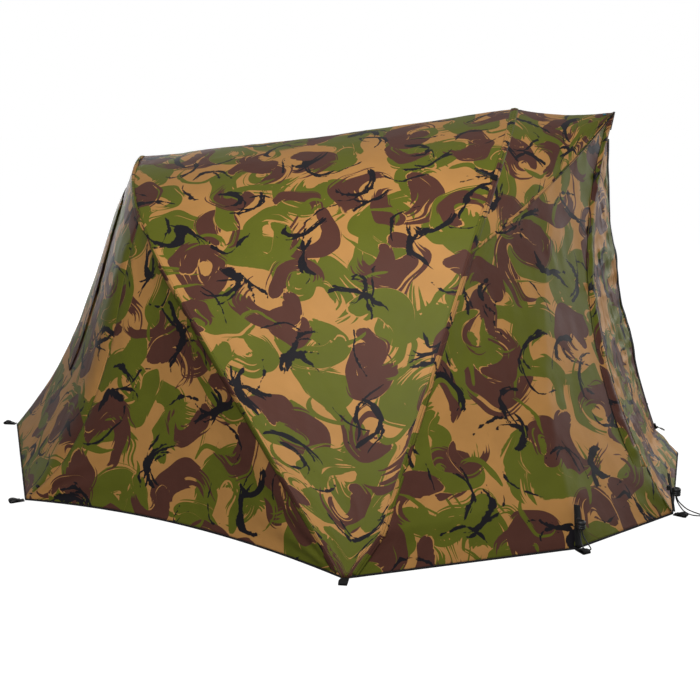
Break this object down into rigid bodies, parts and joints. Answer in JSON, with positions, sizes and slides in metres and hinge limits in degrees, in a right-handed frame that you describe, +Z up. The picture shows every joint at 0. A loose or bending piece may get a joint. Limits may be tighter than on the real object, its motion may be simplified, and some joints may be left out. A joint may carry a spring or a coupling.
{
  "type": "pop up tent",
  "caption": "Low one-person shelter of camouflage cloth over two folding hoops, with a zipped door under a forward peak.",
  "frame": {"origin": "on the ground at the middle of the pitched shelter's outline", "axes": "+Z up; the door faces -Y; +X is the left side of a person inside who faces the door"},
  "size_m": [2.606, 2.7274, 1.2849],
  "materials": {
    "alloy_tube": "drawn, grey anodised",
    "black_cord": "braided",
    "black_metal": "black painted die casting",
    "black_nylon": "moulded, fine texture",
    "black_webbing": "woven webbing",
    "blue_snap": "moulded, satin",
    "bright_steel": "drawn",
    "camouflage_cloth": "coated woven polyester in four colours",
    "ferrule_alloy": "turned, dark anodised",
    "grey_nylon": "moulded",
    "zip_tape": "woven tape with coil teeth"
  },
  "bodies": {
    "canopy": {"pivot_block_left": "black_nylon", "pivot_block_right": "black_nylon", "pivot_pins": "bright_steel", "main_panel": "camouflage_cloth", "peak_panel": "camouflage_cloth", "front_side_left": "camouflage_cloth", "front_side_right": "camouflage_cloth", "door_left": "camouflage_cloth", "door_right": "camouflage_cloth", "rear_side_left": "camouflage_cloth", "rear_side_right": "camouflage_cloth", "rear_panel": "camouflage_cloth", "vent_cover": "camouflage_cloth", "storm_flap_left": "camouflage_cloth", "storm_flap_right": "camouflage_cloth", "centre_zip": "zip_tape", "hem_binding": "black_webbing", "peak_rivet": "blue_snap", "peak_strap": "black_webbing", "peg_tabs": "black_webbing", "draw_tabs": "black_webbing", "cord_lock_barrels": "black_nylon", "shock_loops": "black_cord"},
    "front_hoop": {"front_hub": "black_nylon", "front_arch_left": "alloy_tube", "front_arch_right": "alloy_tube", "front_leg_left": "alloy_tube", "front_leg_right": "alloy_tube", "front_ferrules": "ferrule_alloy", "front_leg_ends": "black_nylon", "front_sleeve": "camouflage_cloth", "front_bar_clamps": "black_nylon", "front_pins": "bright_steel", "guy_tabs": "black_webbing", "guy_cords": "black_cord"},
    "rear_hoop": {"rear_hub": "black_nylon", "rear_arch_left": "alloy_tube", "rear_arch_right": "alloy_tube", "rear_leg_left": "alloy_tube", "rear_leg_right": "alloy_tube", "rear_ferrules": "ferrule_alloy", "rear_leg_ends": "black_nylon", "rear_sleeve": "camouflage_cloth", "rear_bar_clamps": "black_nylon"},
    "strut": {"peak_strut": "alloy_tube", "strut_tip": "black_nylon"},
    "slider": {"door_slider": "black_metal"},
    "ring": {"door_slider_ring": "black_metal"},
    "bar_left": {"bar_tube_left": "alloy_tube"},
    "rod_left": {"bar_rod_left": "bright_steel"},
    "front_plunger_left": {"plunger_front_left": "grey_nylon"},
    "door_plunger_left": {"plunger_door_left": "grey_nylon"},
    "bar_right": {"bar_tube_right": "alloy_tube"},
    "rod_right": {"bar_rod_right": "bright_steel"},
    "front_plunger_right": {"plunger_front_right": "grey_nylon"},
    "door_plunger_right": {"plunger_door_right": "grey_nylon"}
  },
  "joints": [
    {"name": "fold", "type": "hinge", "parent": "canopy", "child": "front_hoop", "pos_m": [0, -0.325, 0.035], "axis": [-1, 0, 0], "range_deg": [0, 104.6], "deforming": ["main_panel", "peak_panel", "front_side_left", "front_side_right", "door_left", "door_right", "rear_side_left", "rear_side_right", "rear_panel", "vent_cover", "storm_flap_left", "storm_flap_right", "centre_zip", "hem_binding", "peak_rivet", "peak_strap"]},
    {"name": "rear_fold", "type": "hinge", "parent": "canopy", "child": "rear_hoop", "pos_m": [0, -0.215, 0.035], "axis": [-1, 0, 0], "range_deg": [0, 46.8]},
    {"name": "strut_fold", "type": "hinge", "parent": "front_hoop", "child": "strut", "pos_m": [0, -0.70279, 1.23926], "axis": [1, 0, 0], "range_deg": [0, 109]},
    {"name": "bar_fold_left", "type": "hinge", "parent": "front_hoop", "child": "bar_left", "pos_m": [0.72501, -0.52644, 0.68767], "axis": [-0.8223, -0.0455, -0.5673], "range_deg": [0, 53.6]},
    {"name": "bar_slide_left", "type": "slide", "parent": "bar_left", "child": "rod_left", "axis": [-0.1829, -0.9228, 0.3391], "range_m": [0, 0.3]},
    {"name": "bar_fold_right", "type": "hinge", "parent": "front_hoop", "child": "bar_right", "pos_m": [-0.72501, -0.52644, 0.68767], "axis": [-0.8223, 0.0455, 0.5673], "range_deg": [0, 53.6]},
    {"name": "bar_slide_right", "type": "slide", "parent": "bar_right", "child": "rod_right", "axis": [0.1829, -0.9228, 0.3391], "range_m": [0, 0.3]},
    {"name": "door_zip", "type": "hinge", "parent": "canopy", "child": "slider", "pos_m": [0, -4.51874, 1.35842], "axis": [1, 0, 0], "range_deg": [0, 17.5]},
    {"name": "ring_swing", "type": "hinge", "parent": "slider", "child": "ring", "pos_m": [0, -1.2785, 0.10116], "axis": [1, 0, 0], "range_deg": [-70, 0]},
    {"name": "front_lock_left", "type": "slide", "parent": "canopy", "child": "front_plunger_left", "axis": [0, 0, -1], "range_m": [0, 0.004], "stiffness_N_per_m": 900, "springref_m": -0.001},
    {"name": "door_lock_left", "type": "slide", "parent": "canopy", "child": "door_plunger_left", "axis": [0, 0, -1], "range_m": [0, 0.004], "stiffness_N_per_m": 900, "springref_m": -0.001},
    {"name": "front_lock_right", "type": "slide", "parent": "canopy", "child": "front_plunger_right", "axis": [0, 0, -1], "range_m": [0, 0.004], "stiffness_N_per_m": 900, "springref_m": -0.001},
    {"name": "door_lock_right", "type": "slide", "parent": "canopy", "child": "door_plunger_right", "axis": [0, 0, -1], "range_m": [0, 0.004], "stiffness_N_per_m": 900, "springref_m": -0.001}
  ],
  "couplings": [
    {"joint": "rear_fold", "follows": "fold", "ratio": 0.44742},
    {"joint": "strut_fold", "follows": "fold", "ratio": 1.0421},
    {"joint": "bar_fold_left", "follows": "fold", "ratio": 0.51243},
    {"joint": "bar_slide_left", "follows": "fold", "m_per_rad": 0.16433},
    {"joint": "bar_fold_right", "follows": "fold", "ratio": 0.51243},
    {"joint": "bar_slide_right", "follows": "fold", "m_per_rad": 0.16433}
  ]
}
